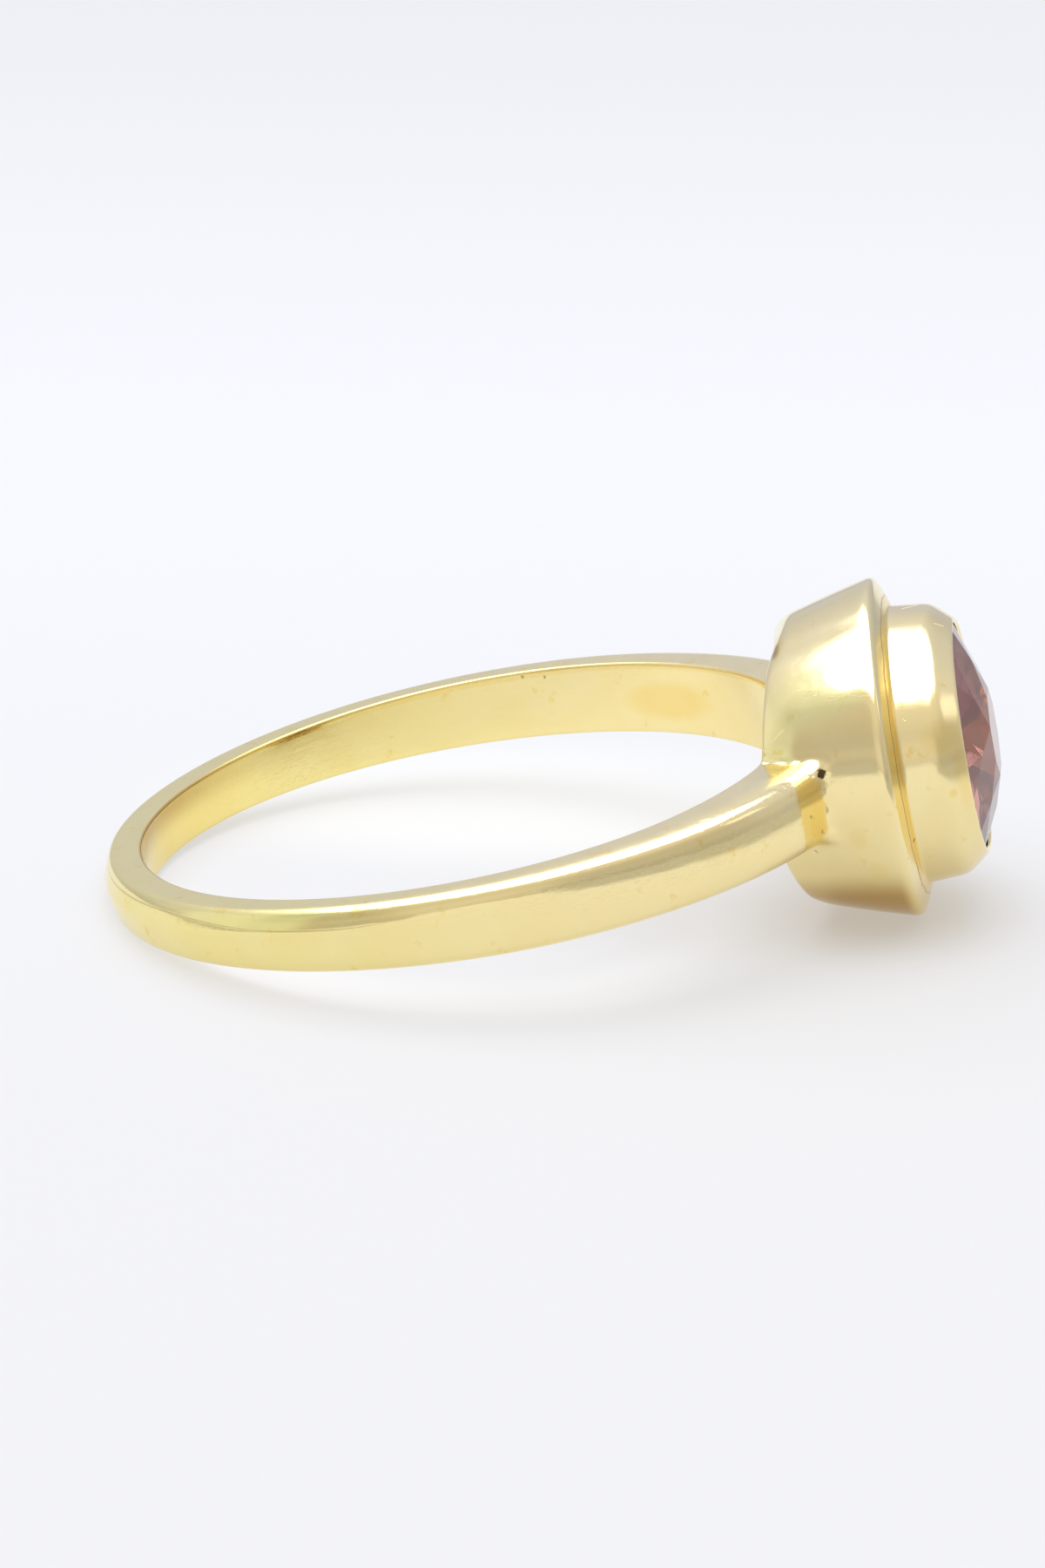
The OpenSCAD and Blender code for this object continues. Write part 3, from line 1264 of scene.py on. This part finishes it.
@dataclass(frozen=True)
class RoseStone:
    """The stone's clear, dusty rose body with polished facets."""

    colour: Point = (0.385, 0.165, 0.13)
    cloudy: Point = (0.39, 0.175, 0.16)
    sheen: Point = (1.0, 0.8, 0.73)
    polish: float = 0.035
    smear: float = 0.06
    ior: float = 1.76
    specular: float = 0.25
    clearness: float = 0.72

    def material(self) -> bpy.types.Material:
        """Makes the material.

        Returns:
            The material.
        """
        paint = Paint("rose_stone")
        place = paint.ring_place()
        cloud = paint.noise(place, 0.8, 2, 0.5).step(0.3, 0.7)
        smear = paint.noise(place, 2.4, 3, 0.6).step(0.45, 0.75)
        return paint.set(
            Base_Color=paint.mix(cloud * 0.4, self.colour, self.cloudy),
            Roughness=self.polish + smear * self.smear,
            IOR=self.ior,
            Specular_IOR_Level=self.specular,
            Specular_Tint=(*self.sheen, 1),
            Transmission_Weight=self.clearness,
        )


class Patch(Enum):
    """Soft ovals painted on the table, of painted shadow or, inside the hoop, painted light: middle and
    half sizes in metres, where each fades, and its share.
    """

    UNDER_HEAD = ((0.008, -0.004), (0.0105, 0.0095), (0.1, 1.5), 0.15)
    UNDER_ARM = ((0.0045, -0.0015), (0.007, 0.0035), (0.2, 1.2), 0.22)
    CONTACT = ((0.0085, 0.0), (0.004, 0.0045), (0.3, 1.2), 0.3)
    INSIDE = ((-0.002, 0.0075), (0.010, 0.006), (0.4, 1.1), 0.8)

    def mask(self, x: Wire, y: Wire) -> Wire:
        """Gives the patch's strength.

        Args:
            x: The place on the table to the right.
            y: The place on the table to the back.

        Returns:
            The mask.
        """
        middle, half, fade, share = self.value
        far = (((x - middle[0]) / half[0]) ** 2 + ((y - middle[1]) / half[1]) ** 2).root()
        return (1 - far.step(*fade)) * share


@dataclass(frozen=True)
class PaleTable:
    """The matt pale table, cooler at the back and warmer in front, with a painted glow, painted soft shade
    under the ring and painted light round the hoop.
    """

    front: Point = (0.135, 0.145, 0.16)
    back: Point = (0.14, 0.15, 0.165)
    # The table glows though it is no lamp: painted light that lightens the real shadows, changing from
    # front to back; glow_share is its strength
    painted_glow: Point = (0.86, 0.835, 0.805)
    far_glow: Point = (0.885, 0.885, 0.885)
    last_glow: Point = (0.75, 0.74, 0.72)
    shade: Point = (0.52, 0.42, 0.26)
    # Painted light inside the hoop, and on the strip under its near side
    lift: Point = (1.01, 0.99, 0.93)
    light_under_hoop: Point = (1.0, 0.965, 0.92)
    glow_share: float = 0.7
    matt: float = 0.7
    # How dark the painted shade at the table's sides is
    dimming: float = 0.45
    hoop_x: float = -0.002
    hoop_r: float = 0.008
    hoop_half_w: float = 0.0018

    def outskirts(self, x: Wire, y: Wire) -> Wire:
        """Gives the parts of the table off to the sides, which the metal would mirror too brightly and
        which get painted shade.

        Args:
            x: The place on the table to the right.
            y: The place on the table to the back.

        Returns:
            The mask.
        """
        aside = (x.size() - y.math("MAXIMUM", 0.0) * 0.12).step(0.028, 0.05)
        ahead = (0 - y).math("MAXIMUM", 0.001)
        spread = (x - 0.003).size()
        near = (x * x + y * y).root().step(0.036, 0.048) * spread.step(0.012, 0.02)
        near = near * (spread / ahead).step(0.25, 0.45) * (0 - y).step(0, 0.002)
        return aside.most((near,)) * self.dimming

    def below_hoop(self, x: Wire, y: Wire) -> Wire:
        """Gives the curved strip of the table under the hoop's near side, where painted light takes out
        the shadow.

        Args:
            x: The place on the table to the right.
            y: The place on the table to the back.

        Returns:
            The mask.
        """
        far = ((x - self.hoop_x) ** 2 + y**2).root()
        trace = 1 - ((far - self.hoop_r) / self.hoop_half_w).size().step(0.2, 1.3)
        trace = trace * (1 - x.step(0.001, 0.006)) * (1 - y.step(-0.003, 0.001))
        return trace * (1 - x.step(-0.007, 0.0) * 0.4)

    def material(self) -> bpy.types.Material:
        """Makes the material.

        Returns:
            The material.
        """
        paint = Paint("pale_table")
        place = paint.add("ShaderNodeTexCoord", {}, {}, "Object")
        x, y, _ = paint.parts(place)
        grain = paint.noise(place, 900.0, 2, 0.5)
        depth = y.step(-0.02, 0.05)
        outskirts = self.outskirts(x, y)
        # The painted glow, with painted shadows under the ring and painted light round and inside the hoop
        painted_glow = paint.mix(depth, self.painted_glow, self.far_glow)
        painted_glow = paint.mix(y.step(0.03, 0.12), painted_glow, self.last_glow)
        for patch in (Patch.UNDER_HEAD, Patch.UNDER_ARM, Patch.CONTACT):
            painted_glow = paint.mix(patch.mask(x, y), painted_glow, self.shade)
        painted_glow = paint.mix(self.below_hoop(x, y), painted_glow, self.light_under_hoop)
        painted_glow = paint.mix(Patch.INSIDE.mask(x, y), painted_glow, self.lift)
        return paint.set(
            # The table's sides get painted shade, darkening what the metal mirrors
            Base_Color=paint.mix(outskirts, paint.mix(depth, self.front, self.back), BLACK),
            Emission_Color=paint.mix(outskirts, painted_glow, BLACK),
            Emission_Strength=self.glow_share,
            Roughness=self.matt + grain * 0.05,
            Normal=paint.bump(grain, 0.002, 0.2),
        )


class Light(Enum):
    """The soft lamps: name, place and aim in millimetres, width, height, power and colour."""

    ABOVE = ("lamp_above", (-20, 40, 400), (0, 0, 0), 200, 200, 0.25, (1.0, 0.99, 0.97))


class Step(Enum):
    """Where the tent's roof starts lower or higher: degrees, and direction, half width and softness."""

    BACK_LEFT = (-6, (-146, 5, 14))
    RIGHT = (-4, (76, 8, 14))
    BACK = (4, (-172, 7, 8))


class Tone(Enum):
    """Changes to the wall: amount, direction's band, heights of fading, and heights of rising."""

    LEFT = (0.09, (-95, 14, 14), None, None)
    BACK_RIGHT = (-0.06, (140, 20, 20), None, None)
    FRONT = (0.12, (0, 14, 20), (14, 28), None)
    FRONT_LEFT = (-0.09, (-50, 13, 14), (34.5, 37), (4, 14))
    FRONT_RIGHT = (-0.09, (50, 25, 20), (20, 44), None)
    SIDE = (0.16, (-76, 18, 10), (16, 30), None)


@dataclass
class Studio:
    """Table, lamps, surroundings and camera."""

    camera_at: Point = (15.57, -188.74, 66.07)
    azimuth: float = math.radians(5.35)
    elevation: float = math.radians(18.59)
    roll: float = math.radians(-0.45)
    lens: float = 178.96
    shift: tuple[float, float] = (0.034, 0.0168)
    roof: float = 3.2
    roof_edge: float = 40.7
    wall: float = 0.66
    roof_tint: Point = (0.98, 0.99, 1.05)
    front_tint: Point = (1.0, 0.955, 0.95)
    side_tint: Point = (0.98, 1.05, 1.02)
    back_tint: Point = (0.95, 0.98, 1.22)

    def table(self) -> bpy.types.Object:
        """Adds the table top.

        Returns:
            The table.
        """
        Bench.clear()
        bpy.ops.mesh.primitive_plane_add(size=3, location=(0, 0, 0))
        top = Bench.name("table_top")
        bpy.ops.object.mode_set(mode="EDIT")
        bpy.ops.mesh.subdivide(number_cuts=6)
        bpy.ops.object.mode_set(mode="OBJECT")
        top.data.materials.append(PaleTable().material())
        return top

    def lamp(self, light: Light) -> bpy.types.Object:
        """Hangs one lamp.

        Args:
            light: Which lamp it is.

        Returns:
            The lamp.
        """
        name, at, aim, width, height, power, colour = light.value
        Bench.clear()
        bpy.ops.object.light_add(type="AREA", location=Vector(at) * MM)
        lamp = Bench.name(name)
        lamp.data.shape = "RECTANGLE"
        lamp.data.size, lamp.data.size_y = width * MM, height * MM
        lamp.data.energy = power
        lamp.data.color = colour
        lamp.rotation_euler = (Vector(aim) - Vector(at)).to_track_quat("-Z", "Y").to_euler()
        return lamp

    def surroundings(self) -> None:
        """Makes the tent round the table: a bright roof over a greyer wall, toned by direction."""
        world = bpy.data.worlds.new("tent")
        bpy.context.scene.world = world
        world.use_nodes = True
        nodes = Nodes(world.node_tree)
        x, y, z = nodes.parts(nodes.add("ShaderNodeTexCoord", {}, {}, "Generated"))
        height = z.math("ARCSINE") * math.degrees(1)
        around = x.math("ARCTAN2", 0 - y) * math.degrees(1)
        front, side = (around.band(*tone.value[1]) for tone in (Tone.FRONT, Tone.SIDE))

        climb = (around + 63).size() * 0.27
        limit = self.roof_edge + climb.math("MINIMUM", 7.0 + 6.3 * around.step(-60, -20))
        for step in Step:
            amount, band = step.value
            limit = limit + around.band(*band) * amount
        away = around.size().step(112, 150)
        sky = (height - limit).step(-0.5 - 3 * away - 5 * front, 1.5 + 6 * away)

        wall = self.wall + 0.16 * height.step(12, 46)
        wall = wall + 0.1 * (1 - around.step(-95, -70)) * (height - limit).step(-10, 0)
        wall = wall + 0.5 * around.band(85, 4, 6) * height.band(30, 3, 5)
        for tone in Tone:
            amount, band, fade, rise = tone.value
            change = around.band(*band) * amount
            change = change * (1 - height.step(*fade)) if fade else change
            wall = wall + (change * height.step(*rise) if rise else change)
        wall = wall * (1 - (0.14 - 0.06 * front) * (1 - side) * height.band(-3, 4, 7))

        tint = nodes.mix(side, self.front_tint, self.side_tint)
        tint = nodes.mix(around.size().step(60, 125), tint, self.back_tint)
        background = world.node_tree.nodes["Background"]
        nodes.feed(background.inputs["Color"], nodes.mix(sky, tint, self.roof_tint))
        nodes.feed(background.inputs["Strength"], wall * (1 - sky) + self.roof * sky)

    def camera(self) -> bpy.types.Object:
        """Sets up the camera at the photograph's angle to the ring.

        Returns:
            The camera.
        """
        Bench.clear()
        bpy.ops.object.camera_add(location=Vector(self.camera_at) * MM)
        camera = Bench.name("camera")
        turns = ((self.azimuth, "Z"), (math.pi / 2 - self.elevation, "X"), (self.roll, "Z"))
        swing, nod, roll = (Matrix.Rotation(turn, 3, axis) for turn, axis in turns)
        camera.rotation_euler = (swing @ nod @ roll).to_euler()
        camera.data.sensor_width = 36
        camera.data.lens = self.lens
        camera.data.shift_x, camera.data.shift_y = self.shift
        camera.data.clip_start, camera.data.clip_end = 0.001, 10
        bpy.context.scene.camera = camera
        return camera

    def build(self) -> None:
        """Sets up the whole studio."""
        self.camera()
        self.table()
        for light in Light:
            self.lamp(light)
        self.surroundings()
        bpy.context.scene.view_settings.view_transform = "Standard"


def dress(piece: bpy.types.Object, material: bpy.types.Material, node: str) -> None:
    """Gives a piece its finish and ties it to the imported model.

    Args:
        piece: The piece.
        material: Its material.
        node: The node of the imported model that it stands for.
    """
    piece.data.materials.clear()
    piece.data.materials.append(material)
    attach(piece, "root")
    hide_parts(node)
    LOG.info("%s: %d faces", piece.name, len(piece.data.polygons))


def main() -> None:
    """Builds the studio and the ring."""
    logging.basicConfig(level=logging.INFO, format="%(name)s: %(message)s")
    Studio().build()
    dress(Mount().build(), YellowGold().material(), "ring_mount")
    dress(CutStone().build(), RoseStone().material(), "stone")
    Bench.clear()


if __name__ == "__main__":
    main()
